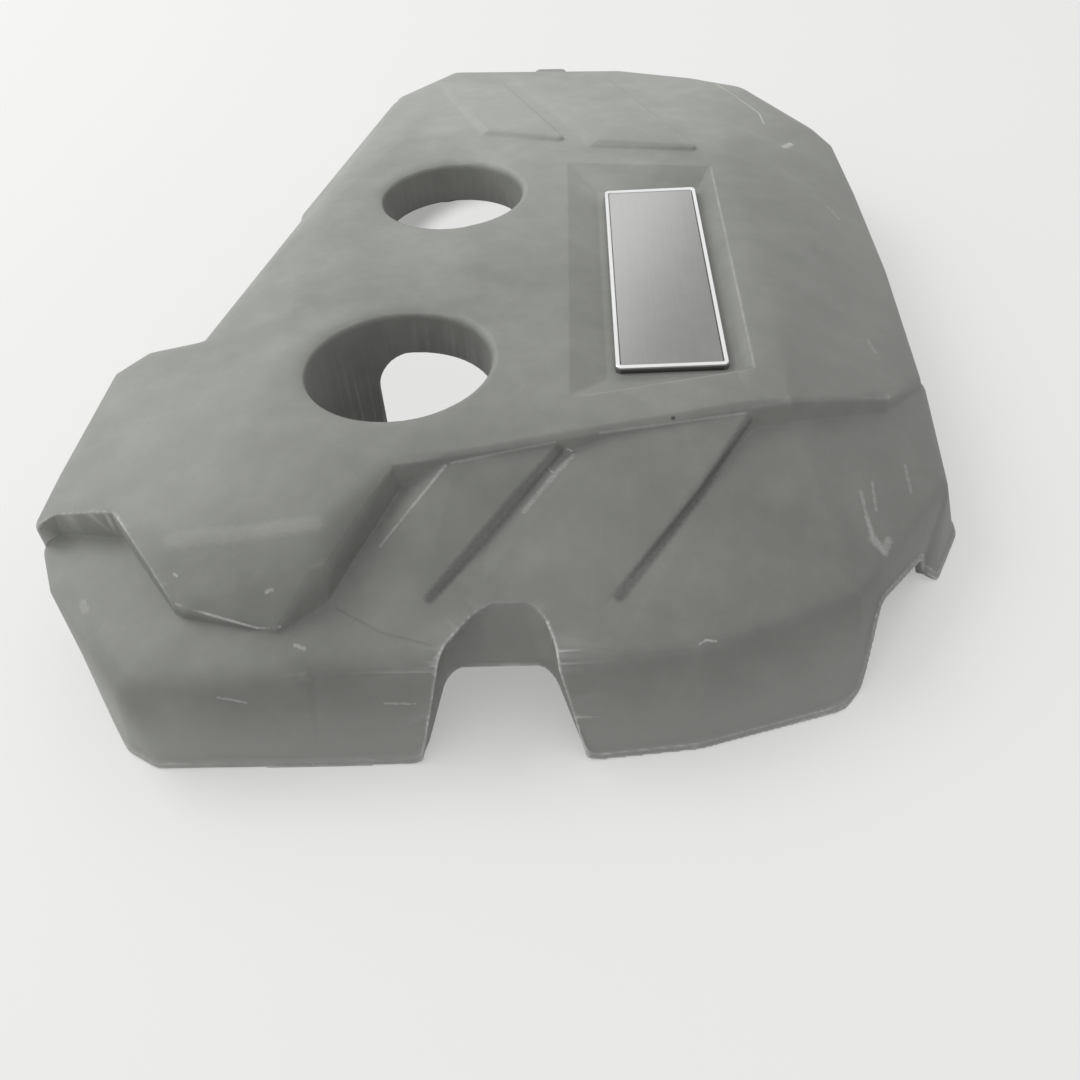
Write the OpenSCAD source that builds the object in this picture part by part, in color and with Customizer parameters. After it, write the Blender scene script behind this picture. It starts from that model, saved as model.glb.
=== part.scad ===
// Moulded engine cover: one thin shell with a flat deck, sloping sides, two
// filler tubes, a sunk bed for the nameplate, raised fins and a notched front
// skirt. Four rubber sockets in towers underneath push onto ball studs.
// Millimetres, +Z up, +Y towards the back, resting on the rim at z = 0.

/* [Cover] */
// Length of the cover, front rim to back rim
cover_length = 520; // [500:1:550]
// Width of the cover, left rim to right rim
cover_width = 392; // [380:1:410]
// Height of the flat deck above the rim
deck_height = 80; // [76:1:90]
// Height of the crease between the front skirt and the front slope
crease_height = 42; // [36:1:46]
// Wall thickness of the moulding
wall = 2.6; // [2:0.1:3.2]
// How far the front skirt leans back between rim and crease
skirt_lean = 12; // [8:0.5:16]
// How far the other skirts lean in between rim and edge
side_lean = 5; // [2:0.5:8]
// How far the lip along the rim stands out
lip_out = 1.2; // [0.8:0.1:2]
// Height of the lip along the rim
lip_height = 3; // [2:0.5:5]
// Radius of the rounded edge round the cover
edge_round = 9; // [6:0.5:11]
// Drop from the deck to the front slope along the band
band_drop = 11; // [8:0.5:14]
// How far the band leans forward over that drop
band_lean = 2; // [1:0.5:6]

/* [Filler tubes] */
// Inner diameter of the front tube
front_tube_d = 81; // [70:1:88]
// Inner diameter of the back tube
back_tube_d = 75; // [66:1:82]
// Distance between the two tubes, front to back
tube_spacing = 159; // [150:1:170]
// How far the tubes reach below the deck
tube_depth = 23; // [16:1:30]
// How far the front tube's guard wall reaches below the deck
guard_depth = 62; // [40:1:66]
// Radius of the cut-out in the front tube's guard wall
guard_round = 17; // [8:1:22]
// Radius of the rounded mouth of each tube
mouth_round = 4; // [3:0.5:6]

/* [Nameplate] */
// Width of the nameplate
plate_width = 48.5; // [36:0.5:52]
// Length of the nameplate
plate_length = 166.5; // [140:0.5:170]
// Depth of the nameplate's bed below the deck
bed_depth = 7; // [5:0.5:9]
// Height of the nameplate's raised rim above its bed
plate_rim_height = 3.4; // [3:0.1:4]
// Width of the nameplate's raised rim
plate_rim_width = 2.2; // [1.6:0.1:3]
// Thickness of the nameplate's base
plate_base = 1.4; // [1.2:0.1:1.8]
// Thickness of the panel set into the nameplate
panel_thick = 1.2; // [0.8:0.1:1.4]
// Diameter of the pegs that hold the nameplate
peg_d = 4; // [3:0.5:5]

/* [Fins] */
// Drop from the deck to the front fins, at the band
front_fin_drop = 5; // [4:0.5:8]
// Height of the back fins above the deck
back_fin_rise = 2.5; // [2:0.5:5]

/* [Notch] */
// Width of the notch in the front skirt, at the rim
notch_width = 62; // [50:1:70]
// Height of the notch
notch_height = 31; // [26:1:34]
// Radius of the bay and of the notch's upper corners
bay_round = 9; // [6:0.5:11]
// Radius of the skirt's corners beside the notch, at the rim
foot_round = 8; // [4:0.5:10]
// Place of the notch along the front skirt
notch_x = -2; // [-8:1:6]

/* [Sockets] */
// Bore of each rubber socket, for a ball stud
socket_bore_d = 10; // [8:0.5:12]
// Depth of that bore
socket_bore_depth = 12; // [9:0.5:14]
// Outer diameter of the rubber socket
socket_d = 22; // [20:0.5:24]
// Height of the towers' lower ends above the rim
tower_height = 20; // [16:1:26]

/* [Rim arch] */
// Rise of the arch in the rim beside the right foot
arch_rise = 24; // [16:1:26]
// How far the arch falls again towards the foot
arch_fall = 7; // [2:1:10]

/* [Hidden] */

left_x = lip_out - cover_width / 2;
right_x = cover_width / 2 - lip_out;
front_y = lip_out - cover_length / 2;
back_y = cover_length / 2 - lip_out;
edge_drop = 10;
right_drop = 34;
edge_z = deck_height - edge_drop;
right_z = deck_height - right_drop;
small_round = wall + 0.6;
floor_cut = 6;
over = 20;

// Front tube and back tube, seen from above
front_tube = [-48, -108];
back_tube = [-36, front_tube.y + tube_spacing];

// Crease of the front skirt, left to right: place and height
crease = [
    [left_x + 100, front_y + skirt_lean, crease_height - 1],
    [44, front_y + skirt_lean, crease_height],
    [71, front_y + skirt_lean + 4, crease_height - 2],
    [right_x - 86, front_y + skirt_lean + 20, crease_height - 4],
    [right_x - 61, front_y + skirt_lean + 33, crease_height - 6],
    [right_x - 11, front_y + skirt_lean + 101, crease_height - 10]];

// Foot of the front skirt, left to right
front_foot = [
    [left_x + 100, front_y],
    [34, front_y],
    [72, front_y + 4],
    [right_x - 84, front_y + 16],
    [right_x - 68, front_y + 20],
    [right_x - 59, front_y + 30],
    [right_x - 21, front_y + 93],
    [right_x - 10, front_y + 108]];

// Upper end of the front slope, under the band, left to right
slope_top = [
    [-70, front_y + 104, deck_height - 9],
    [100, front_y + 120, deck_height - 8],
    [113, front_y + 122, deck_height - 10],
    [right_x - 36, front_y + 150, deck_height - 28],
    [right_x - 12, front_y + 178, right_z - 6]];

// Band along the front edge of the deck, left to right
band = [
    [-44, front_y + 84, deck_height],
    [98, front_y + 115, deck_height],
    [113, front_y + 117, deck_height - 1],
    [right_x - 34, front_y + 145, deck_height - 22]];

// Edge of the cover from the front right corner round the back to the left
upper_edge = [
    [right_x - 9, front_y + 176, right_z - 3],
    [right_x - 5, 12, right_z],
    [right_x - 6, back_y - 160, right_z + 2],
    [right_x - 11, back_y - 110, right_z + 8],
    [right_x - 20, back_y - 96, right_z + 12],
    [right_x - 57, back_y - 48, edge_z - 4],
    [right_x - 83, back_y - 38, edge_z - 2],
    [61, back_y - 17, edge_z - 2],
    [-49, back_y - 5, edge_z - 2],
    [-66, back_y - 34, edge_z],
    [-80, back_y - 46, edge_z],
    [left_x + 82, 50, edge_z],
    [left_x + 47.5, -79, edge_z - 3]];

// Shoulder that stands out of the left edge behind the deck's front half
shoulder = [
    [left_x + 76, 56, edge_z],
    [-83, back_y - 55, edge_z]];

// Corners of the level deck
deck_corners = [
    [114, front_y + 150], [114, 96], [60, 110], [-20, 126], [-70, 120],
    [left_x + 92, 40], [left_x + 94, -70], [-50, front_y + 100]];

// Edge of the left wing, from its back corner round the tip and its nose to
// the deck
wing_edge = [
    [left_x + 48, -84, edge_z - 2],
    [left_x + 22, -76, edge_z - 5],
    [left_x + 10, -86, edge_z - 8],
    [left_x + 5, -153, edge_z - 13],
    [left_x + 4, -179, edge_z - 15],
    [left_x + 61, -213, edge_z - 13],
    [left_x + 75, -225, edge_z - 17],
    [left_x + 109, -233, edge_z - 20]];
// Crown of the wing: where it leaves the level of the deck, and the low crest
// across its nose
wing_crown = [
    [left_x + 96, -76, deck_height],
    [left_x + 92, -150, deck_height],
    [left_x + 80, -198, edge_z - 1],
    [left_x + 124, -203, edge_z + 4],
    [left_x + 125, -212, edge_z],
    [left_x + 136, -192, edge_z + 7]];
// Foot of the wing's right flank, on the front slope
wing_flank = [
    [left_x + 153, -178, edge_z - 6.5],
    [left_x + 137, -200, edge_z - 14],
    [left_x + 126, -222, edge_z - 21]];

// Scoop that cuts the terrace into the front of the wing: corners of its wall
scoop_wall = [
    [left_x + 12, -180], [left_x - 20, -197], [left_x - 20, front_y - 10],
    [left_x + 66, front_y - 10], [left_x + 70, -229], [left_x + 54, -215], [left_x + 36, -185]];
scoop_round = 4;

// Crease of the low terrace in front of the wing, and its foot
terrace = [
    [left_x + 118, front_y + skirt_lean - 2, crease_height - 1],
    [left_x + 102, front_y + 7, crease_height - 4],
    [left_x + 86, front_y + 6, crease_height - 3.5],
    [left_x + 54, front_y + 8, crease_height - 3],
    [left_x + 32, front_y + 40, crease_height - 3],
    [left_x + 11, front_y + 61, crease_height - 3],
    [left_x + 4, front_y + 77, crease_height]];
terrace_foot = [
    [left_x + 118, front_y], [left_x + 58, front_y + 1], [left_x + 48, front_y + 7],
    [left_x + 18, front_y + 50], [left_x + 3, front_y + 76], [left_x + 2, -150]];
terrace_back = [
    [left_x + 114, -195, crease_height + 13], [left_x + 24, -140, crease_height + 6]];

// Sunk bed of the nameplate: outline at the deck, front left first
plate_at = [69.8, -30.8];
bed_z = deck_height - bed_depth;
bed_top = [
    [plate_at.x - 42, plate_at.y - plate_length / 2 - 23],
    [plate_at.x + 31, plate_at.y - plate_length / 2 - 8],
    [plate_at.x + 32, plate_at.y + plate_length / 2 + 15],
    [plate_at.x - 42, plate_at.y + plate_length / 2 + 27]];
bed_floor = [
    [plate_at.x - plate_width / 2 - 3, plate_at.y - plate_length / 2 - 3],
    [plate_at.x + plate_width / 2 + 2, plate_at.y - plate_length / 2 - 3],
    [plate_at.x + plate_width / 2 + 2, plate_at.y + plate_length / 2 + 4],
    [plate_at.x - plate_width / 2 - 3, plate_at.y + plate_length / 2 + 4]];
bed_round = 2;
panel_gap = 0.2;
peg_clear = 0.3;
peg_inset = 9;
peg_head = 1.6;

// Bay above the notch: centres of its lower and upper ends, across, back and up
bay_low = [13, front_y + 12, notch_height + 7];
bay_high = [3, front_y + 30, notch_height + 28];
bay_lean = 5;
bay_over = 30;

// Front fins: two corners sunk into the deck behind the band, then corners on
// the front slope with their height above it
fin_sink = 3.6;
fin_tops = [
    [[-17, -167], [28, -153.9]],
    [[45.7, -150], [102.3, -140]]];
fin_ends = [
    [[-32.9, -227.5, -0.4], [-62, -222, -0.8], [-31, -176, 0], [-52, -190, 0.3], [-69, -222, -1]],
    [[32.4, -230.3, -0.4], [-13, -222, -0.8], [24, -163, 0.3], [0, -188, 0.3], [-22, -214, -2]]];
fin_draft = 3;
fin_root = 12;

// Back fins: two corners on the deck, then two on the back slope
back_fin_tops = [
    [[-19.5, 126], [21, 113]],
    [[44.5, 104], [95, 92]]];
back_fin_ends = [
    [[-16, 216, 0.8], [-55.5, 227, 0.8], [-60, 225, 0], [-24, 124, 0]],
    [[48, 226, 0.8], [-9.5, 233, 0.8], [-14, 231, 0], [40, 102, 0]]];

// Lug that stands out at the back edge, and half its width
back_lug = [15, back_y - 12, edge_z - 3.5];
lug_round = 4.5;
lug_reach = 7;
lug_drop = 14;

// Places of the towers for the rubber sockets
tower_at = [
    [left_x + 76, -116], [right_x - 52, -60],
    [-56, back_y - 76], [right_x - 84, back_y - 108]];
socket_clear = 0.3;
socket_body = 13.5;
socket_lip = 2.2;
socket_flange = 3;
tower_wall = 2.8;
tower_rib = 2;
tower_rib_reach = 6;

// Arch in the rim: its two ends, the lengths of its rise and of its steep end,
// and the radius of its upper corners
arch_from = [right_x - 59, front_y + 29];
arch_to = [right_x - 16.5, front_y + 89];
arch_start = 26;
arch_end = 9;
arch_round = 7;

// Point moved towards the middle of the cover by d
function inward(p, d) = [p.x, p.y] * (1 - d / norm([p.x, p.y]));

// Facets of the rounded corners: fewer inside, where they are smaller
function skin_fn(inset) = inset > 0 ? 13 : 24;

// Rounded corner under an edge point; inset shrinks it for the inside
module edge_ball(p, r, inset) {
    c = inward(p, 0.78 * r);
    translate([c.x, c.y, p.z - 0.62 * r]) sphere(r = r - inset, $fn = skin_fn(inset));
}

// Rounded corner whose crown touches the height of its point
module top_ball(p, r, inset) {
    translate([p.x, p.y, p.z - r]) sphere(r = r - inset, $fn = skin_fn(inset));
}

// Upright post inside a foot point of the rim
module foot_post(p, r, inset) {
    c = inward(p, r);
    translate([c.x, c.y, -floor_cut]) cylinder(r = r - inset, h = floor_cut, $fn = skin_fn(inset));
}

// Front slope and front skirt
module front_mass(inset) {
    hull() {
        for (p = crease) edge_ball(p, edge_round, inset);
        for (p = slope_top) top_ball(p, edge_round, inset);
        for (p = front_foot) foot_post(p, edge_round, inset);
        for (p = slope_top) foot_post(p, edge_round, inset);
    }
}

// Deck, right slope, back slope and the skirts under them
module deck_mass(inset) {
    hull() {
        for (p = band) top_ball(p, small_round, inset);
        for (p = band) top_ball(p - [0, band_lean, band_drop], small_round, inset);
        for (p = upper_edge) edge_ball(p, edge_round, inset);
        for (p = deck_corners) top_ball([p.x, p.y, deck_height], edge_round * 1.4, inset);
        for (p = upper_edge) foot_post(inward(p, -side_lean), edge_round, inset);
        for (p = band) foot_post(p, edge_round, inset);
    }
}

// Shoulder of the deck's left edge
module shoulder_mass(inset) {
    hull() {
        for (p = shoulder) edge_ball(p, edge_round, inset);
        for (p = shoulder) foot_post(inward(p, -side_lean), edge_round, inset);
        for (i = [4, 5]) top_ball([deck_corners[i].x, deck_corners[i].y, deck_height], edge_round, inset);
    }
}

// Left wing, with the scoop in front of it
module wing_mass(inset) {
    difference() {
        hull() {
            for (p = wing_edge) edge_ball(p, small_round + 2, inset);
            for (p = wing_crown) top_ball(p, edge_round, inset);
            for (p = concat(wing_flank, [band[0]])) top_ball(p, small_round, inset);
            for (i = [0:3]) foot_post(inward(wing_edge[i], -side_lean), edge_round, inset);
            for (i = [4:7]) foot_post(wing_edge[i], edge_round, inset);
            for (p = wing_crown) foot_post(p, edge_round, inset);
        }
        hull() for (p = scoop_wall) translate([p.x, p.y, crease_height]) {
            sphere(r = scoop_round + inset, $fn = 16);
            cylinder(r = scoop_round + inset, h = deck_height, $fn = 16);
        }
    }
}

// Low terrace in front of the wing
module terrace_mass(inset) {
    hull() {
        for (p = terrace) edge_ball(p, edge_round, inset);
        for (p = terrace_back) top_ball(p, edge_round, inset);
        for (p = terrace_foot) foot_post(p, edge_round, inset);
        foot_post(terrace_back[0], edge_round, inset);
    }
}

// Foot that flares out at the front end of the right skirt
module corner_foot_mass(inset) {
    r = small_round + 2;
    hull() {
        edge_ball([right_x - 10, front_y + 112, crease_height - 12], r, inset);
        edge_ball([right_x - 9, front_y + 150, crease_height - 9], r, inset);
        foot_post([right_x - 1, front_y + 114], r, inset);
        foot_post([right_x - 14.5, front_y + 89], r, inset);
        foot_post([right_x - 3, front_y + 150], r, inset);
    }
}

// Raised fin: corners at their own heights, with drafted sides down to its root
module fin(corners, inset) {
    hull() for (p = corners) {
        top_ball(p, small_round, inset);
        top_ball(p - [0, 0, fin_root], small_round + fin_draft, inset);
    }
}

// Height of the front slope at y
slope_run = 104 - skirt_lean - 0.78 * edge_round;
slope_gain = (deck_height - 9 - crease_height - 0.38 * edge_round) / slope_run;
function slope_z(y) = deck_height - 8.6 + (y - front_y - 104) * slope_gain;

module front_fins(inset) {
    for (i = [0, 1])
        fin(concat([for (p = fin_tops[i]) [p.x, p.y, deck_height - front_fin_drop + fin_sink]],
                   [for (p = fin_ends[i]) [p.x, p.y, slope_z(p.y) + p.z]]), inset);
}

// Height of the back slope at y
back_gain = (deck_height - edge_z + 2 - 0.38 * edge_round) / (back_y - 16 - 118);
function back_z(y) = deck_height - (y - 118) * back_gain;

module back_fins(inset) {
    for (i = [0, 1])
        fin(concat([for (p = back_fin_tops[i]) [p.x, p.y, deck_height + back_fin_rise]],
                   [for (p = back_fin_ends[i]) [p.x, p.y, back_z(p.y) + p.z]]), inset);
}

// Lug that stands out of the back edge, on a post
module lug(inset) {
    hull() for (side = [-1, 1], down = [0, lug_drop])
        translate(back_lug + [side * lug_reach, -0.1 * side * lug_reach, -down])
            sphere(r = lug_round - inset, $fn = 14);
}

// Whole outer form, shrunk by inset
module form(inset) {
    front_mass(inset);
    deck_mass(inset);
    shoulder_mass(inset);
    wing_mass(inset);
    terrace_mass(inset);
    corner_foot_mass(inset);
    front_fins(inset);
    back_fins(inset);
    lug(inset);
}

// Hollow bay above the notch, grown by grow
module bay_ball(x, y, z, grow) {
    translate([notch_x + x, y, z]) sphere(r = bay_round + grow, $fn = 22);
}

module bay(grow) {
    hull() for (side = [-1, 1]) {
        bay_ball(side * (notch_width / 2 - bay_round), front_y, 0, grow);
        bay_ball(side * bay_low.x, bay_low.y, bay_low.z, grow);
        bay_ball(side * bay_low.x, bay_low.y - bay_over, bay_low.z, grow);
    }
    hull() for (side = [-1, 1]) {
        bay_ball(side * bay_low.x, bay_low.y, bay_low.z, grow);
        bay_ball(side * bay_low.x, bay_low.y - bay_over, bay_low.z + bay_over, grow);
        bay_ball(bay_lean + side * bay_high.x, bay_high.y, bay_high.z, grow);
        bay_ball(bay_lean + side * bay_high.x, bay_high.y, bay_high.z + bay_over, grow);
    }
}

// Outline of the notch seen from the front, with rounded corners at the rim
module notch_outline() {
    reach = notch_width + 3 * over;
    offset(r = -foot_round, $fn = 32) offset(delta = foot_round) {
        hull() for (side = [-1, 1]) {
            translate([side * notch_width / 2, -floor_cut]) circle(r = 1, $fn = 16);
            translate([side * (notch_width / 2 - 2 * bay_round), notch_height - bay_round])
                circle(r = bay_round, $fn = 32);
        }
        translate([-reach / 2, -over]) square([reach, over]);
    }
}

// Outline of the arch in the rim, seen square to the skirt
module arch_outline() {
    way = norm(arch_to - arch_from);
    offset(r = -foot_round, $fn = 32) offset(delta = foot_round) {
        offset(r = arch_round, $fn = 32) offset(delta = -arch_round)
            polygon([[0, 0], [arch_start, arch_rise], [way - arch_end, arch_rise - arch_fall],
                     [way, 0], [way, -over], [0, -over]]);
        translate([-2 * over, -over]) square([way / 2 + 2 * over, over]);
    }
}

// Space cut out of the skirt by the notch and the arch, grown by grow
module rim_cuts(grow) {
    way = arch_to - arch_from;
    translate([notch_x, front_y + 45, 0]) rotate([90, 0, 0])
        linear_extrude(height = 60) offset(delta = grow) notch_outline();
    translate([arch_from.x, arch_from.y, 0]) rotate(atan2(way.y, way.x))
        translate([0, 16, 0]) rotate([90, 0, 0])
            linear_extrude(height = 40) offset(delta = grow) arch_outline();
}

// Zone along the rim in which the skirt has its lip
module lip_zone() {
    translate([left_x - over, front_y - over, 0])
        cube([cover_width + 2 * over, cover_length + 2 * over, lip_height]);
    rim_cuts(lip_height);
}

// Bed of the nameplate, grown by grow
module bed(grow) {
    hull() {
        for (p = bed_floor) translate([p.x, p.y, bed_z - grow])
            cylinder(r1 = bed_round / 3 + grow, r2 = bed_round + grow, h = bed_round / 2, $fn = 16);
        for (p = bed_top)
            translate([p.x, p.y, deck_height - grow]) cylinder(r = bed_round + grow, h = 20, $fn = 16);
    }
}

// Bore of a tube with its rounded mouth
module tube_bore(at, d) {
    r = d / 2;
    translate([at.x, at.y, 0]) {
        translate([0, 0, -1]) cylinder(r = r, h = deck_height + 10, $fn = 64);
        rotate_extrude($fn = 64)
            translate([r, deck_height - mouth_round])
                difference() {
                    translate([-1, 0]) square([mouth_round + 1, mouth_round + 8]);
                    translate([mouth_round, 0]) circle(r = mouth_round, $fn = 20);
                }
    }
}

// Wall of a tube, from depth below the deck up to the deck
module tube_wall(at, d, depth) {
    r = d / 2 + wall;
    translate([at.x, at.y, 0]) {
        translate([0, 0, deck_height - depth]) cylinder(r = r, h = depth + 10, $fn = 64);
        translate([0, 0, deck_height - mouth_round - wall])
            cylinder(r1 = r, r2 = r + mouth_round + 10, h = mouth_round + 10, $fn = 64);
    }
}

// Guard wall on the left of the front tube, cut out in a curve below the tube
module guard_wall() {
    r = front_tube_d / 2 + wall;
    edge = -0.42 * r;
    intersection() {
        translate([front_tube.x, front_tube.y, deck_height - guard_depth])
            cylinder(r = r, h = guard_depth, $fn = 64);
        translate([front_tube.x, front_tube.y + r, 0]) rotate([90, 0, 0])
            linear_extrude(height = 2 * r) difference() {
                translate([-r, deck_height - guard_depth]) square([r, guard_depth]);
                hull() {
                    translate([edge + guard_round, deck_height - tube_depth - guard_round])
                        circle(r = guard_round, $fn = 32);
                    translate([edge, 0]) square([2 * r, deck_height - guard_depth]);
                }
            }
    }
}

// Cup and cross ribs that hold one rubber socket
module tower(at) {
    r = socket_d / 2 + socket_clear + tower_wall;
    cup = socket_body + tower_wall;
    translate([at.x, at.y, 0]) {
        translate([0, 0, tower_height]) cylinder(r = r, h = cup, $fn = 40);
        for (turn = [0, 90]) rotate(turn)
            translate([-r - tower_rib_reach, -tower_rib / 2, tower_height + cup - tower_wall])
                cube([2 * (r + tower_rib_reach), tower_rib, deck_height]);
    }
}

module cover_shell() {
    color("dimgray") difference() {
        union() {
            form(0);
            intersection() {
                form(-lip_out);
                lip_zone();
            }
        }
        difference() {
            form(wall);
            tube_wall(front_tube, front_tube_d, tube_depth);
            tube_wall(back_tube, back_tube_d, tube_depth);
            guard_wall();
            bed(wall);
            bay(wall);
            for (at = tower_at) tower(at);
        }
        tube_bore(front_tube, front_tube_d);
        tube_bore(back_tube, back_tube_d);
        bed(0);
        bay(0);
        rim_cuts(0);
        for (at = peg_places()) translate([at.x, at.y, bed_z - wall - 1])
            cylinder(d = peg_d + 2 * peg_clear, h = wall + 2, $fn = 24);
        for (at = tower_at) translate([at.x, at.y, tower_height - 1])
            cylinder(r = socket_d / 2 + socket_clear, h = socket_body + 1, $fn = 40);
        translate([left_x - over, front_y - over, -deck_height])
            cube([cover_width + 2 * over, cover_length + 2 * over, deck_height]);
    }
}

// Places of the pegs under the nameplate
function peg_places() = [for (sx = [-1, 1], sy = [-1, 1])
    plate_at + [sx * (plate_width / 2 - peg_inset), sy * (plate_length / 2 - peg_inset)]];

// Plate with round corners, standing on z = 0
module plate(w, l, r, h) {
    translate([-w / 2, -l / 2 + r, 0]) cube([w, l - 2 * r, h]);
    translate([-w / 2 + r, -l / 2, 0]) cube([w - 2 * r, l, h]);
    for (sx = [-1, 1], sy = [-1, 1])
        translate([sx * (w / 2 - r), sy * (l / 2 - r), 0]) cylinder(r = r, h = h, $fn = 32);
}

// Plated frame with a closed base, held by four pegs through the bed
module nameplate_frame() {
    tray_w = plate_width - 2 * plate_rim_width;
    tray_l = plate_length - 2 * plate_rim_width;
    color("gainsboro") {
        translate([plate_at.x, plate_at.y, bed_z]) difference() {
            plate(plate_width, plate_length, 2.6, plate_rim_height);
            translate([0, 0, plate_base]) plate(tray_w, tray_l, 1, plate_rim_height);
        }
        for (at = peg_places()) translate([at.x, at.y, 0]) {
            translate([0, 0, bed_z - wall]) cylinder(d = peg_d, h = wall + plate_base / 2, $fn = 24);
            translate([0, 0, bed_z - wall - peg_head]) cylinder(d = peg_d + 3, h = peg_head, $fn = 24);
        }
    }
}

// Panel set into the frame
module nameplate_panel() {
    inset = 2 * (plate_rim_width + panel_gap);
    color("darkgray") translate([plate_at.x, plate_at.y, bed_z + plate_base])
        plate(plate_width - inset, plate_length - inset, 1, panel_thick);
}

// Rubber socket: a plug in the tower's cup, a lip under it and a blind bore
module socket(at) {
    color("black") translate([at.x, at.y, tower_height]) difference() {
        union() {
            cylinder(d = socket_d, h = socket_body - socket_clear, $fn = 48);
            translate([0, 0, -socket_flange])
                cylinder(d = socket_d + 2 * socket_lip, h = socket_flange, $fn = 48);
        }
        translate([0, 0, -socket_flange]) cylinder(d = socket_bore_d, h = socket_bore_depth, $fn = 48);
    }
}

module socket_front_left() { socket(tower_at[0]); }
module socket_front_right() { socket(tower_at[1]); }
module socket_back_left() { socket(tower_at[2]); }
module socket_back_right() { socket(tower_at[3]); }

cover_shell();
nameplate_frame();
nameplate_panel();
socket_front_left();
socket_front_right();
socket_back_left();
socket_back_right();
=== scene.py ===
import bmesh
import bpy
import numpy as np
from mathutils import Matrix, Vector


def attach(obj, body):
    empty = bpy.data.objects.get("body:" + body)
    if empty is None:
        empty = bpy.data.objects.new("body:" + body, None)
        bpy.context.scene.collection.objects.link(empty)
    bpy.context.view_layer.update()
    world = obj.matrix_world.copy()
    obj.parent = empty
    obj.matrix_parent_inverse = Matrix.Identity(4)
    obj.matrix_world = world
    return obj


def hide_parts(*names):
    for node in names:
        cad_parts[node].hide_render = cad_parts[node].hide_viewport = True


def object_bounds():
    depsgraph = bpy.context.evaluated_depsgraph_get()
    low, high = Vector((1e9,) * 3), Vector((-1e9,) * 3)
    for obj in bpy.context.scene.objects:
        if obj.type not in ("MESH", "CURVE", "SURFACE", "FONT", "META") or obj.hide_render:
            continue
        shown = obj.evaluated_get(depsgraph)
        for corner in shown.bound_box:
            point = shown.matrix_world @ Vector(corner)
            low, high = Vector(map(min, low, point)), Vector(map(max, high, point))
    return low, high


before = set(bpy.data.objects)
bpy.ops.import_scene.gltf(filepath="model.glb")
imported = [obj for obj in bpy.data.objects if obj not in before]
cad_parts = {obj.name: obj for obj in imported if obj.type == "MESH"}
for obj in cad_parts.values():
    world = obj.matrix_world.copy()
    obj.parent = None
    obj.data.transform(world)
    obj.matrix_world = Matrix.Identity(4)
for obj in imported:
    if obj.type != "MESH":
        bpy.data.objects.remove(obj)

cad_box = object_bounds()

# Moulded cover shell: one thin-walled injection moulding of filled black plastic, greyed by haze
# and dust. Deck, skirts, filler tubes, nameplate bed and socket cups are one piece. Its edges are
# soft, because the mould has rounded corners and the plastic shrinks back from them.
mm = 0.001
shell_cast = 0.7 * mm        # spacing of the first even mesh
shell_triangles = 192000     # left after thinning
edge_rounds = 2              # smoothing passes over every edge
crease_rounds = 110          # smoothing passes over the gentle creases
crease_factor = 0.8          # strength of each of those passes
upward = (0.60, 0.80)        # how far up a face looks where its creases start and end to melt
# Zones where creases melt: each pair runs from where they stay to where they melt fully
left_zone = ((-22 * mm, -34 * mm), (100 * mm, 88 * mm))
right_zone = ((106 * mm, 114 * mm), (-125 * mm, -110 * mm))
corner_zone = ((-78 * mm, -92 * mm), (-232 * mm, -240 * mm), (4 * mm, 9 * mm))
zone_levels = 8              # steps between no melting and full melting
rub_bend = (230.0, 430.0)    # curvature, one over metres, where an edge starts and ends to rub


def add_object(name, data):
    piece = bpy.data.objects.new(name, data)
    bpy.context.scene.collection.objects.link(piece)
    return piece


def merged_copy(node, name):
    """A copy of a frame node's mesh with its doubled corners merged, as an object of its own."""
    bm = bmesh.new()
    bm.from_mesh(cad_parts[node].data)
    bmesh.ops.remove_doubles(bm, verts=bm.verts, dist=0.001 * mm)
    mesh = bpy.data.meshes.new(name)
    bm.to_mesh(mesh)
    bm.free()
    mesh.materials.clear()
    return add_object(name, mesh)


def settle(piece):
    """Makes what the modifiers show the piece's own mesh."""
    bpy.context.view_layer.update()
    evaluated = piece.evaluated_get(bpy.context.evaluated_depsgraph_get())
    mesh = bpy.data.meshes.new_from_object(evaluated)
    piece.modifiers.clear()
    old = piece.data
    piece.data = mesh
    bpy.data.meshes.remove(old)


def corner_values(mesh, key):
    """The places ("co") or the normals ("normal") of a mesh's corners as an array."""
    values = np.empty(len(mesh.vertices) * 3)
    mesh.vertices.foreach_get(key, values)
    return values.reshape(-1, 3)


def smooth_step(value, start, end):
    """Rises smoothly from 0 at the start to 1 at the end, which may be the smaller number."""
    t = np.clip((value - start) / (end - start), 0.0, 1.0)
    return t * t * (3 - 2 * t)


def soften(piece, rounds, factor=0.5, group=""):
    smooth = piece.modifiers.new("soften", "SMOOTH")
    smooth.factor = factor
    smooth.iterations = rounds
    smooth.vertex_group = group


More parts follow.
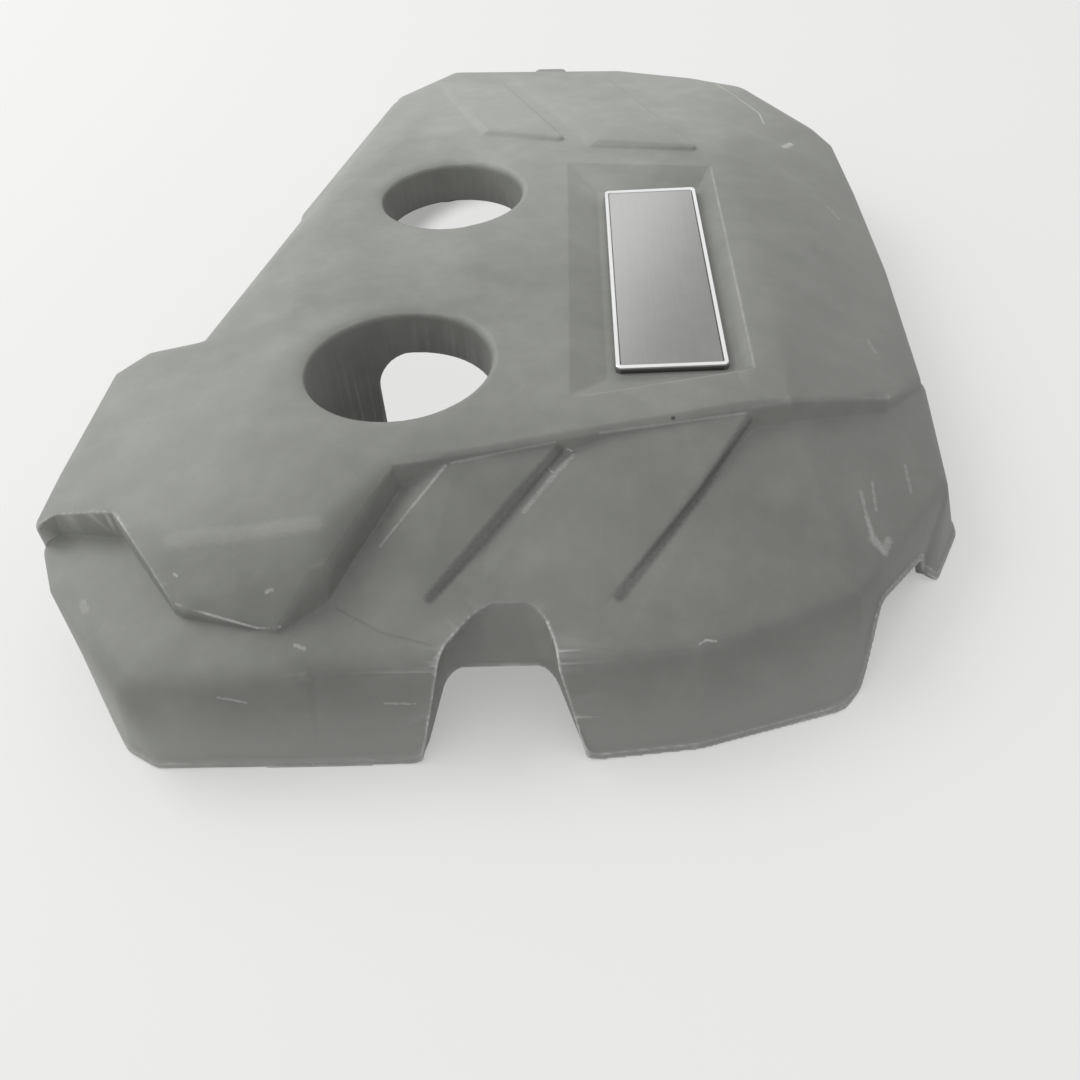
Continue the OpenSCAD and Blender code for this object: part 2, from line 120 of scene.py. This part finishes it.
def rub_mask(piece, low, high):
    """Stores on each corner how much its convex edge is rubbed, from 0 to 1."""
    mesh = piece.data
    places = corner_values(mesh, "co")
    normals = corner_values(mesh, "normal")
    ends = np.empty(len(mesh.edges) * 2, dtype=np.int64)
    mesh.edges.foreach_get("vertices", ends)
    a, b = ends.reshape(-1, 2).T
    way = places[b] - places[a]
    bend = ((normals[b] - normals[a]) * way).sum(1) / np.maximum((way * way).sum(1), 1e-9)
    count = np.bincount(a, minlength=len(places)) + np.bincount(b, minlength=len(places))
    curve = np.bincount(a, bend, len(places)) + np.bincount(b, bend, len(places))
    curve /= np.maximum(count, 1)
    for _ in range(2):
        spread = np.bincount(a, curve[b], len(places)) + np.bincount(b, curve[a], len(places))
        curve = 0.5 * curve + 0.5 * spread / np.maximum(count, 1)
    # A fifth of the rub starts early, so that a sharp edge keeps a faint border
    rub = 0.2 * smooth_step(curve, 0.35 * low, low) + 0.8 * smooth_step(curve, low, high)
    layer = mesh.attributes.new("rub", "FLOAT", "POINT")
    layer.data.foreach_set("value", rub.astype(np.float32))


shell = merged_copy("cover_shell", "shell_moulding")
cast = shell.modifiers.new("cast", "REMESH")
cast.mode = "VOXEL"
cast.voxel_size = shell_cast
settle(shell)
snap = shell.modifiers.new("snap", "SHRINKWRAP")
snap.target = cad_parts["cover_shell"]
snap.wrap_method = "NEAREST_SURFACEPOINT"
soften(shell, edge_rounds)
settle(shell)
free = shell.vertex_groups.new(name="free")
x, y, z = corner_values(shell.data, "co").T
to_left = smooth_step(x, *left_zone[0]) * smooth_step(y, *left_zone[1])
to_right = smooth_step(x, *right_zone[0]) * smooth_step(y, *right_zone[1])
facing_up = smooth_step(corner_values(shell.data, "normal")[:, 2], *upward)
in_corner = smooth_step(x, *corner_zone[0]) * smooth_step(y, *corner_zone[1])
in_corner *= smooth_step(z, *corner_zone[2])
melt = np.round(zone_levels * np.maximum(facing_up * np.maximum(to_left, to_right), in_corner))
for level in range(1, zone_levels + 1):
    free.add(np.flatnonzero(melt == level).tolist(), level / zone_levels, "REPLACE")
soften(shell, crease_rounds, crease_factor, "free")
settle(shell)
rub_mask(shell, *rub_bend)
thin = shell.modifiers.new("thin", "DECIMATE")
thin.ratio = shell_triangles / sum(len(p.vertices) - 2 for p in shell.data.polygons)
settle(shell)
shell.vertex_groups.clear()
shell.data.shade_smooth()
# Softening moves the rim off the floor: the heights are stretched until it stands there again
spread_out = corner_values(shell.data, "co")
spread_out[:, 2] *= cad_box[1][2] / (cad_box[1][2] - spread_out[:, 2].min())
spread_out[:, 2] -= spread_out[:, 2].min()
shell.data.vertices.foreach_set("co", spread_out.ravel())
shell.data.update()


def place(tree, kind, x, y, **settings):
    """Adds a node to a tree. A setting is one of the node's own values."""
    node = tree.nodes.new(kind)
    node.location = (x, y)
    for key, value in settings.items():
        setattr(node, key, value)
    return node


def new_group(name, inputs, outputs):
    """An empty node group with its sockets: name, kind and starting value."""
    tree = bpy.data.node_groups.new(name, "ShaderNodeTree")
    for side, sockets in (("INPUT", inputs), ("OUTPUT", outputs)):
        for label, kind, *start in sockets:
            socket = tree.interface.new_socket(name=label, in_out=side, socket_type=kind)
            if start:
                socket.default_value = start[0]
    return tree, place(tree, "NodeGroupInput", -900, 0), place(tree, "NodeGroupOutput", 900, 0)


def use_group(tree, group, x, y, spots, **values):
    """A group in a material, with the places on the piece and its own values."""
    node = place(tree, "ShaderNodeGroup", x, y, node_tree=group)
    tree.links.new(spots, node.inputs["Place"])
    for key, value in values.items():
        node.inputs[key].default_value = value
    return node


def math_node(tree, operation, x, y, first, second, third=None, clamp=False):
    """A Math node whose inputs are each a socket or a number."""
    node = place(tree, "ShaderNodeMath", x, y, operation=operation, use_clamp=clamp)
    for socket, given in zip(node.inputs, (first, second, third)):
        if isinstance(given, (int, float)):
            socket.default_value = given
        elif given is not None:
            tree.links.new(given, socket)
    return node.outputs[0]


def vector_node(tree, operation, x, y, first, second=None):
    """A Vector Math node on a socket and a second socket or a written vector."""
    node = place(tree, "ShaderNodeVectorMath", x, y, operation=operation)
    tree.links.new(first, node.inputs[0])
    other = node.inputs["Scale" if operation == "SCALE" else 1]
    if isinstance(second, tuple):
        other.default_value = second
    elif second is not None:
        tree.links.new(second, other)
    return node.outputs["Value" if operation in ("DOT_PRODUCT", "LENGTH") else "Vector"]


def span(tree, value, x, y, source, result=(0.0, 1.0)):
    """Turns one stretch of a value smoothly into another."""
    node = place(tree, "ShaderNodeMapRange", x, y, interpolation_type="SMOOTHSTEP")
    tree.links.new(value, node.inputs["Value"])
    for key, number in zip(("From Min", "From Max", "To Min", "To Max"), (*source, *result)):
        node.inputs[key].default_value = number
    return node.outputs["Result"]


def noise(tree, spots, x, y, scale, detail=3.0, rough=0.5):
    """A cloudy value. The scale is in clouds per metre."""
    node = place(tree, "ShaderNodeTexNoise", x, y)
    tree.links.new(spots, node.inputs["Vector"])
    node.inputs["Scale"].default_value = scale
    node.inputs["Detail"].default_value = detail
    node.inputs["Roughness"].default_value = rough
    return node.outputs["Fac"]


def mix_colour(tree, x, y, factor, first, second):
    """Mixes two colours, each a socket or a written colour."""
    node = place(tree, "ShaderNodeMix", x, y, data_type="RGBA")
    tree.links.new(factor, node.inputs[0])
    for socket, given in zip([s for s in node.inputs if s.type == "RGBA"], (first, second)):
        if isinstance(given, tuple):
            socket.default_value = (*given, 1.0)
        else:
            tree.links.new(given, socket)
    return next(s for s in node.outputs if s.type == "RGBA")


def new_finish(name, base, roughness, metallic=0.0):
    """A material with its shader, and the socket that gives places on the piece."""
    material = bpy.data.materials.new(name)
    material.use_nodes = True
    material.diffuse_color = (*base, 1.0)
    tree = material.node_tree
    shader = tree.nodes["Principled BSDF"]
    shader.inputs["Base Color"].default_value = (*base, 1.0)
    shader.inputs["Roughness"].default_value = roughness
    shader.inputs["Metallic"].default_value = metallic
    spots = place(tree, "ShaderNodeTexCoord", -1600, 0).outputs["Object"]
    return material, tree, shader, spots


def add_bump(tree, shader, height, strength, distance):
    bump = place(tree, "ShaderNodeBump", -220, -320)
    bump.inputs["Strength"].default_value = strength
    bump.inputs["Distance"].default_value = distance
    tree.links.new(height, bump.inputs["Height"])
    tree.links.new(bump.outputs["Normal"], shader.inputs["Normal"])


# Fine grain of the mould, as a height
grain_group, given, out = new_group(
    "moulded_grain", [("Place", "NodeSocketVector"), ("Depth", "NodeSocketFloat", 1.0)],
    [("Height", "NodeSocketFloat")])
fine = noise(grain_group, given.outputs["Place"], -500, 100, scale=1900.0, detail=2.0)
coarse = noise(grain_group, given.outputs["Place"], -500, -200, scale=160.0, detail=4.0)
both = math_node(grain_group, "MULTIPLY_ADD", -200, 0, fine, 0.35, coarse)
deep = math_node(grain_group, "MULTIPLY", 100, 0, both, given.outputs["Depth"])
grain_group.links.new(deep, out.inputs["Height"])

# Dust and haze: cloudy at two sizes, with fine specks
dust_group, given, out = new_group(
    "dust_haze",
    [("Place", "NodeSocketVector"), ("Bare", "NodeSocketColor", (0.1, 0.1, 0.1, 1)),
     ("Dusty", "NodeSocketColor", (0.3, 0.3, 0.3, 1)), ("Amount", "NodeSocketFloat", 0.5)],
    [("Color", "NodeSocketColor"), ("Cloud", "NodeSocketFloat")])
clouds = noise(dust_group, given.outputs["Place"], -700, 200, scale=9.0, detail=5.0, rough=0.6)
smears = noise(dust_group, given.outputs["Place"], -700, -50, scale=46.0, detail=6.0, rough=0.65)
specks = noise(dust_group, given.outputs["Place"], -700, -300, scale=620.0, detail=2.0)
cloudy = math_node(dust_group, "ADD", -350, 100,
                   span(dust_group, clouds, -520, 200, (0.3, 0.7), (0.0, 0.62)),
                   span(dust_group, smears, -520, -50, (0.35, 0.75), (0.0, 0.38)))
specked = math_node(dust_group, "ADD", -150, 50, cloudy,
                    span(dust_group, specks, -520, -300, (0.66, 0.78), (0.0, 0.25)), clamp=True)
amount = math_node(dust_group, "MULTIPLY", 50, 0, specked, given.outputs["Amount"])
dust_group.links.new(amount, out.inputs["Cloud"])
dust_group.links.new(mix_colour(dust_group, 300, 100, amount, given.outputs["Bare"],
                                given.outputs["Dusty"]), out.inputs["Color"])

# Stroke: a straight mark from one point to another, ragged at its sides, for rub marks and for
# painted shade and highlights
stroke_group, given, out = new_group(
    "stroke_mark",
    [("Place", "NodeSocketVector"), ("From", "NodeSocketVector"), ("To", "NodeSocketVector"),
     ("Width", "NodeSocketFloat", 1.0 * mm), ("Ragged", "NodeSocketFloat", 0.5)],
    [("Mask", "NodeSocketFloat")])
start = given.outputs["From"]
offset = vector_node(stroke_group, "SUBTRACT", -700, 200, given.outputs["Place"], start)
way = vector_node(stroke_group, "SUBTRACT", -700, 0, given.outputs["To"], start)
along = math_node(stroke_group, "DIVIDE", -350, 100,
                  vector_node(stroke_group, "DOT_PRODUCT", -520, 150, offset, way),
                  vector_node(stroke_group, "DOT_PRODUCT", -520, 0, way, way), clamp=True)
aside = vector_node(stroke_group, "SUBTRACT", -50, 150, offset,
                    vector_node(stroke_group, "SCALE", -200, 50, way, along))
far = math_node(stroke_group, "DIVIDE", 250, 100,
                vector_node(stroke_group, "LENGTH", 100, 150, aside), given.outputs["Width"])
torn = noise(stroke_group, given.outputs["Place"], -200, -250, scale=700.0, detail=4.0, rough=0.7)
broken = math_node(stroke_group, "MULTIPLY", 150, -250,
                   span(stroke_group, torn, 0, -250, (0.35, 0.65), (1.0, 0.0)),
                   given.outputs["Ragged"])
inside = span(stroke_group, far, 450, 100, (0.2, 1.0), (1.0, 0.0))
stroke_group.links.new(math_node(stroke_group, "SUBTRACT", 700, 0, inside, broken, clamp=True),
                      out.inputs["Mask"])


def strokes(tree, spots, lines, mask, y, step):
    """Adds strokes to a mask: ends and width in millimetres, how ragged and how strong."""
    for row, (start, end, width, ragged, strength) in enumerate(lines):
        level = y + step * row
        mark = use_group(tree, stroke_group, -1400, level, spots, From=Vector(start) * mm,
                         To=Vector(end) * mm, Width=width * mm, Ragged=ragged)
        faded = math_node(tree, "MULTIPLY", -1200, level, mark.outputs["Mask"], strength)
        mask = math_node(tree, "MAXIMUM", -1000, level, mask, faded)
    return mask


bare_plastic = (0.212, 0.219, 0.202)
hazed_plastic = (0.318, 0.325, 0.303)
# Rubbed plastic, also the colour of the painted highlights on the front fins' top edges
rubbed_and_highlight_grey = (0.56, 0.565, 0.545)
# Dust at the rim together with painted bounce light from the floor
rim_dust_and_bounce_light = (0.40, 0.408, 0.385)
# Painted shade for the fins' feet, also used for a fine dark line beside the wing
shade_and_line_black = (0.045, 0.047, 0.044)
pit_shade = (0.05, 0.05, 0.048)
shell_finish, tree, shader, spots = new_finish("faded_black_plastic", bare_plastic, 0.55)
shader.inputs["Specular IOR Level"].default_value = 0.3
dust = use_group(tree, dust_group, -1200, 300, spots, Bare=(*bare_plastic, 1),
                 Dusty=(*hazed_plastic, 1), Amount=1.0)
# Rubbed edges, in patches, marks from handling, and painted highlights along the front fins' top
# edges
rub = place(tree, "ShaderNodeAttribute", -1400, -100, attribute_name="rub").outputs["Fac"]
patches = noise(tree, spots, -1400, -300, scale=60.0, detail=5.0, rough=0.7)
wear_and_highlights = math_node(tree, "MULTIPLY", -1000, -150, rub,
                 span(tree, patches, -1200, -300, (0.35, 0.65), (0.35, 0.9)))
scuffs_and_highlights = [
    ((142.5, -166.1, 47.4), (143.2, -177.5, 43.5), 1.6, 0.5, 0.3),
    ((143.2, -177.5, 43.5), (144.6, -186.6, 40.0), 2.2, 0.35, 0.4),
    ((144.6, -186.6, 40.0), (148.2, -190.0, 37.1), 3.8, 0.4, 0.4),
    ((148.2, -190.0, 37.1), (151.4, -184.1, 37.3), 3.0, 0.5, 0.35),
    ((148.6, -158.6, 46.6), (148.0, -172.1, 42.8), 1.3, 0.6, 0.35),
    ((165.9, -144.5, 42.2), (166.2, -156.7, 38.2), 1.6, 0.7, 0.3),
    ((121.6, 207.9, 70.6), (134.5, 177.9, 70.8), 0.8, 0.15, 0.7),
    ((134.5, 177.9, 70.8), (143.1, 162.6, 69.1), 0.9, 0.15, 0.8),
    ((143.1, 162.6, 69.1), (143.6, 144.3, 69.8), 0.8, 0.2, 0.8),
    ((151.3, 114.8, 68.1), (156.6, 122.5, 66.3), 2.8, 0.3, 0.7),
    ((165.8, 52.9, 61.5), (171.2, 42.2, 58.5), 0.7, 0.5, 0.5),
    ((-122.6, -223.4, 52.9), (-111.2, -227.4, 51.8), 0.9, 0.5, 0.5),
    ((-111.2, -227.4, 51.8), (-90.9, -232.8, 48.7), 0.9, 0.3, 0.7),
    ((-90.9, -232.8, 48.7), (-82.1, -233.1, 49.3), 0.9, 0.5, 0.5),
    ((-104.2, -254.7, 35.7), (-99.0, -254.7, 34.3), 0.9, 0.5, 0.45),
    ((-99.0, -254.7, 34.3), (-94.3, -254.7, 32.4), 0.8, 0.5, 0.45),
    ((-165.8, -211.9, 42.9), (-163.6, -215.4, 42.6), 3.0, 0.6, 0.25),
    ((71.2, -240.2, 42.0), (73.5, -238.6, 42.2), 0.7, 0.6, 0.6),
    ((73.5, -238.6, 42.2), (77.2, -238.4, 41.3), 0.8, 0.6, 0.6),
    ((-86.9, -224.3, 58.8), (-84.6, -223.9, 59.5), 1.3, 0.6, 0.5),
    ((-124.1, -213.7, 59.1), (-122.8, -214.6, 58.9), 0.8, 0.2, 0.5),
    ((25.1, -164.2, 73.1), (26.6, -164.1, 72.0), 0.9, 0.7, 0.7),
    ((17.5, -171.5, 69.8), (18.6, -172.7, 68.7), 0.8, 0.7, 0.7),
    ((26.6, -166.6, 71.5), (17.0, -177.0, 67.3), 2.0, 0.6, 0.3),
    ((17.0, -177.0, 67.3), (7.6, -188.5, 62.8), 2.0, 0.7, 0.25),
    ((-22.7, -174.6, 75.1), (-35.1, -189.0, 67.7), 1.2, 0.4, 0.4),
    ((-35.1, -189.0, 67.7), (-46.9, -203.2, 60.4), 1.0, 0.5, 0.3),
    # These two strokes along the front fins' top edges are painted highlights
    ((-20.0, -173.6, 75.7), (20.1, -164.5, 77.1), 1.0, 0.4, 0.25),
    ((37.8, -160.5, 77.7), (96.0, -148.7, 76.0), 1.0, 0.4, 0.3),
    ((-126.8, -201.2, 65.0), (-98.3, -203.9, 70.0), 6.0, 0.35, 0.13),
    ((-98.3, -203.9, 70.0), (-69.4, -204.0, 74.0), 6.0, 0.35, 0.13),
    ((-76.3, -238.7, 45.4), (-72.8, -240.3, 44.9), 1.5, 0.7, 0.4),
    ((-44.4, -251.8, 26.9), (-33.3, -252.0, 26.2), 1.0, 0.7, 0.35),
    ((162.2, -74.3, 59.0), (163.8, -82.6, 57.9), 2.0, 0.8, 0.25),
]
wear_and_highlights = strokes(tree, spots, scuffs_and_highlights, wear_and_highlights, -500, -200)
# More dust towards the rim, where it settles and splashes up, and painted bounce light from the
# floor: the skirts grow lighter towards the bottom
up = place(tree, "ShaderNodeSeparateXYZ", -1300, 500)
tree.links.new(spots, up.inputs["Vector"])
low = span(tree, up.outputs["Z"], -1150, 500, (2 * mm, 40 * mm), (0.75, 0.0))
dust_and_painted_light = mix_colour(tree, -950, 400, low, dust.outputs["Color"], rim_dust_and_bounce_light)
# Painted shade in the corners at the fins' feet, along their right flanks, and a fine dark line
# beside the wing
fin_shade_and_wing_line = [
    ((21.5, -165.3, 73.7), (1.2, -188.3, 65.0), 3.6, 0.25, 0.55),
    ((1.2, -188.3, 65.0), (-27.3, -222.5, 51.3), 3.6, 0.25, 0.55),
    ((97.5, -150.7, 74.0), (74.6, -181.5, 61.0), 3.6, 0.25, 0.55),
    ((74.6, -181.5, 61.0), (43.1, -223.5, 50.2), 3.6, 0.25, 0.55),
    ((-62.5, -224.8, 49.8), (-45.2, -234.7, 46.8), 1.0, 0.3, 0.2),
    ((-45.2, -234.7, 46.8), (-26.5, -240.2, 45.2), 1.0, 0.3, 0.2),
]
darkened = strokes(tree, spots, fin_shade_and_wing_line, 0.0, 900, 200)
dust_and_painted_light = mix_colour(tree, -900, 600, darkened, dust_and_painted_light, shade_and_line_black)
# Painted sheen: the colour grows lighter towards the back and the left and darker towards the front
# right
painted_light_slant = vector_node(tree, "DOT_PRODUCT", -1300, 700, spots, (-1.3, 1.6, 0.0))
dust_and_painted_light = vector_node(tree, "SCALE", -850, 500, dust_and_painted_light,
                    span(tree, painted_light_slant, -1100, 700, (-0.50, 0.42), (0.70, 1.22)))
colour = mix_colour(tree, -800, 200, wear_and_highlights, dust_and_painted_light, rubbed_and_highlight_grey)
# A small pit in the band, over the right fin, painted as a dark spot of shade
pit = [((66.9, -153.6, 78.4), (67.1, -153.5, 78.4), 1.3, 0.2, 1.0)]
colour = mix_colour(tree, -600, 400, strokes(tree, spots, pit, 0.0, 2300, 200), colour, pit_shade)
tree.links.new(colour, shader.inputs["Base Color"])
tree.links.new(span(tree, dust.outputs["Cloud"], -800, -50, (0.0, 1.0), (0.5, 0.62)),
               shader.inputs["Roughness"])
grain = use_group(tree, grain_group, -600, -320, spots, Depth=1.0)
add_bump(tree, shader, grain.outputs["Height"], 0.25, 0.15 * mm)
shell.data.materials.append(shell_finish)
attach(shell, "root")
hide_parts("cover_shell")

# Nameplate frame: a tray of plated plastic with a raised bright rim. Its closed base lies on the
# floor of the bed, and four pegs under it go through the bed and are headed over below.
plate_edge = 0.9 * mm               # rounding of the rim's edges
plated_above = (75.0 * mm, 75.5 * mm)  # heights where the plating starts and is whole
flat_turn = 0.02                    # radians within which faces count as one flat face
sharp_turn = 0.7                    # radians over which an edge is rounded
bright_metal = (0.86, 0.87, 0.87)
dull_metal = (0.66, 0.66, 0.64)
tray_plastic = (0.13, 0.133, 0.125)


def bevelled_copy(node, name, width, segments, above=-1.0):
    """A copy of a frame node, its flat faces whole again, its sharp edges over a height rounded."""
    piece = merged_copy(node, name)
    bm = bmesh.new()
    bm.from_mesh(piece.data)
    bmesh.ops.dissolve_limit(bm, angle_limit=flat_turn, verts=bm.verts, edges=bm.edges)
    sharp = [e for e in bm.edges
             if len(e.link_faces) == 2 and e.calc_face_angle(0.0) > sharp_turn
             and min(e.verts[0].co.z, e.verts[1].co.z) > above]
    bmesh.ops.bevel(bm, geom=sharp, offset=width, offset_type="OFFSET", segments=segments,
                    profile=0.5, affect="EDGES", clamp_overlap=True, material=-1)
    bmesh.ops.triangulate(bm, faces=[f for f in bm.faces if len(f.verts) > 4])
    bm.to_mesh(piece.data)
    bm.free()
    piece.data.shade_smooth()
    flat = piece.modifiers.new("flat_faces", "WEIGHTED_NORMAL")
    flat.keep_sharp = True
    settle(piece)
    return piece


plate = bevelled_copy("nameplate_frame", "nameplate_tray", plate_edge, 5, plated_above[1])
plating, tree, shader, spots = new_finish("bright_plating", bright_metal, 0.14, 1.0)
haze = use_group(tree, dust_group, -1200, 300, spots, Bare=(*bright_metal, 1),
                 Dusty=(*dull_metal, 1), Amount=0.55)
up = place(tree, "ShaderNodeSeparateXYZ", -1300, -200)
tree.links.new(spots, up.inputs["Vector"])
plated = span(tree, up.outputs["Z"], -1100, -200, plated_above)
tree.links.new(mix_colour(tree, -500, 200, plated, tray_plastic, haze.outputs["Color"]),
               shader.inputs["Base Color"])
tree.links.new(plated, shader.inputs["Metallic"])
tree.links.new(span(tree, haze.outputs["Cloud"], -700, 0, (0.0, 0.6), (0.10, 0.30)),
               shader.inputs["Roughness"])
plate.data.materials.append(plating)
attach(plate, "root")
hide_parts("nameplate_frame")

# Nameplate panel: a thin pressed panel of satin grey metal, brushed along its length and glued
# into the tray.
panel_edge = 0.25 * mm
sheet_grey = (0.20, 0.205, 0.20)
sheet_haze = (0.32, 0.325, 0.315)
# Colour of the painted reflection at the sheet's back left corner
painted_sheet_glint = (0.58, 0.585, 0.565)
brush_lines = (900.0, 14.0, 900.0)  # lines per metre across, along and through the sheet
panel = bevelled_copy("nameplate_panel", "nameplate_sheet", panel_edge, 3)
satin, tree, shader, spots = new_finish("satin_grey_metal", sheet_grey, 0.42, 0.9)
haze = use_group(tree, dust_group, -1200, 300, spots, Bare=(*sheet_grey, 1),
                 Dusty=(*sheet_haze, 1), Amount=0.5)
# Painted reflection: the sheet grows lighter towards its back left corner
painted_light_slant = vector_node(tree, "DOT_PRODUCT", -900, 500, spots, (-14.0, 5.0, 0.0))
painted_corner_glint = span(tree, painted_light_slant, -700, 500, (-1.70, -0.50), (0.05, 0.85))
tree.links.new(mix_colour(tree, -500, 300, painted_corner_glint, haze.outputs["Color"], painted_sheet_glint),
               shader.inputs["Base Color"])
stretched = place(tree, "ShaderNodeMapping", -1200, -300)
stretched.inputs["Scale"].default_value = brush_lines
tree.links.new(spots, stretched.inputs["Vector"])
brushed = noise(tree, stretched.outputs["Vector"], -950, -300, scale=1.0)
tree.links.new(span(tree, brushed, -700, -100, (0.3, 0.7), (0.36, 0.46)),
               shader.inputs["Roughness"])
add_bump(tree, shader, brushed, 0.12, 0.05 * mm)
panel.data.materials.append(satin)
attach(panel, "root")
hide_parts("nameplate_panel")

# Rubber sockets: four moulded rubber plugs, each pressed up into a cup under the shell until its
# flange meets the cup's end. A blind bore in each snaps over a ball stud on the engine.
rubber_edge = 0.7 * mm
rubber_black = (0.022, 0.022, 0.022)
rubber_bloom = (0.085, 0.083, 0.078)
rubber, tree, shader, spots = new_finish("socket_rubber", rubber_black, 0.8)
bloom = use_group(tree, dust_group, -1200, 300, spots, Bare=(*rubber_black, 1),
                  Dusty=(*rubber_bloom, 1), Amount=0.8)
tree.links.new(bloom.outputs["Color"], shader.inputs["Base Color"])
grain = use_group(tree, grain_group, -600, -320, spots, Depth=1.0)
add_bump(tree, shader, grain.outputs["Height"], 0.4, 0.2 * mm)
for corner in ("front_left", "front_right", "back_left", "back_right"):
    socket = bevelled_copy("socket_" + corner, "rubber_" + corner, rubber_edge, 3)
    socket.data.materials.append(rubber)
    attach(socket, "root")
    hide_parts("socket_" + corner)

# Floor: a plain pale studio floor. It shows as nearly white and keeps the cover's shadow. Under
# the tubes it is darker for light that bounces into them, and lighter as seen through them.
floor_half = 4.0           # metres from its middle to its sides
floor_drop = 0.3 * mm      # below the rim
floor_pale = (0.82, 0.82, 0.81)
floor_shade = (0.25, 0.25, 0.245)
glow_white = (1.0, 1.0, 0.99, 1.0)
tubes_middle = (-25 * mm, 50 * mm, 0.0)
tubes_reach = (0.078, 0.180, 1.0)
bm = bmesh.new()
bmesh.ops.create_grid(bm, x_segments=1, y_segments=1, size=floor_half)
bmesh.ops.translate(bm, verts=bm.verts, vec=(0, 0, -floor_drop))
floor_mesh = bpy.data.meshes.new("floor")
bm.to_mesh(floor_mesh)
bm.free()
floor = add_object("floor", floor_mesh)
pale, tree, shader, spots = new_finish("pale_floor", floor_pale, 0.6)
glow = place(tree, "ShaderNodeEmission", -200, -500)
glow.inputs["Color"].default_value = glow_white
glow.inputs["Strength"].default_value = 0.80
rays = place(tree, "ShaderNodeLightPath", -900, -300)
seen = math_node(tree, "MAXIMUM", -500, -300, rays.outputs["Is Camera Ray"],
                 rays.outputs["Is Glossy Ray"])
middle = place(tree, "ShaderNodeMapping", -1300, -600, vector_type="TEXTURE")
middle.inputs["Location"].default_value = tubes_middle
middle.inputs["Scale"].default_value = tubes_reach
tree.links.new(spots, middle.inputs["Vector"])
reach = vector_node(tree, "LENGTH", -1100, -600, middle.outputs["Vector"])
# Painted light and shade under the tubes: the floor glows brighter as seen through them, and is
# darker for light that bounces up into them
below = span(tree, reach, -900, -600, (0.8, 1.0), (1.0, 0.0))
share = math_node(tree, "MULTIPLY_ADD", -500, -500, below, 0.5, 0.45)
unseen = math_node(tree, "SUBTRACT", -700, 300, 1.0, rays.outputs["Is Camera Ray"])
tree.links.new(mix_colour(tree, -300, 200, math_node(tree, "MULTIPLY", -500, 300, below, unseen),
                          floor_pale, floor_shade), shader.inputs["Base Color"])
shown = place(tree, "ShaderNodeMixShader", 300, 0)
tree.links.new(math_node(tree, "MULTIPLY", -200, -200, seen, share), shown.inputs["Fac"])
tree.links.new(shader.outputs["BSDF"], shown.inputs[1])
tree.links.new(glow.outputs["Emission"], shown.inputs[2])
tree.links.new(shown.outputs["Shader"], tree.nodes["Material Output"].inputs["Surface"])
floor.data.materials.append(pale)

# Light: a soft surround that is brightest above and to the left, white where it is seen or
# mirrored, and one large lamp from the back left.
sky_facing = (-0.55, 0.30, 0.78)
lamp_at = Vector((-1.35, 0.70, 1.55))
lamp_aim = Vector((0, 0, 0.04))
surround = bpy.data.worlds.new("surround")
surround.use_nodes = True
tree = surround.node_tree
sky = tree.nodes["Background"]
sky.inputs["Color"].default_value = (1.0, 1.0, 1.0, 1.0)
towards = place(tree, "ShaderNodeTexCoord", -1300, -200).outputs["Generated"]
facing = vector_node(tree, "DOT_PRODUCT", -1100, -200, towards, sky_facing)
soft_light = span(tree, facing, -900, -200, (-0.5, 0.9), (0.42, 0.95))
rays = place(tree, "ShaderNodeLightPath", -900, 0)
seen = math_node(tree, "MAXIMUM", -650, 0, rays.outputs["Is Camera Ray"],
                 rays.outputs["Is Glossy Ray"])
tree.links.new(math_node(tree, "MAXIMUM", -400, 0, seen, soft_light), sky.inputs["Strength"])
bpy.context.scene.world = surround

lamp = bpy.data.lights.new("key_back_left", "AREA")
lamp.size = 1.2
lamp.energy = 17.0
holder = add_object("key_back_left", lamp)
holder.location = lamp_at
holder.rotation_euler = (lamp_aim - lamp_at).to_track_quat("-Z", "Y").to_euler()

# Camera: at the photograph's place and angle, with its lens. The three directions are the
# picture's right, its top and the way back to the camera.
camera = bpy.data.cameras.new("camera")
camera.sensor_width = 36.0
camera.lens = 36.07
camera_at = Vector((0.0335, -0.499, 0.340))
camera_right = Vector((0.99839, 0.01436, -0.05494))
camera_up = Vector((0.03009, 0.68680, 0.72622))
camera_back = camera_right.cross(camera_up).normalized()
turn = Matrix((camera_right, camera_up, camera_back)).transposed()
stand = add_object("camera", camera)
stand.matrix_world = Matrix.Translation(camera_at) @ turn.to_4x4()
bpy.context.scene.camera = stand
bpy.context.scene.view_settings.view_transform = "Standard"
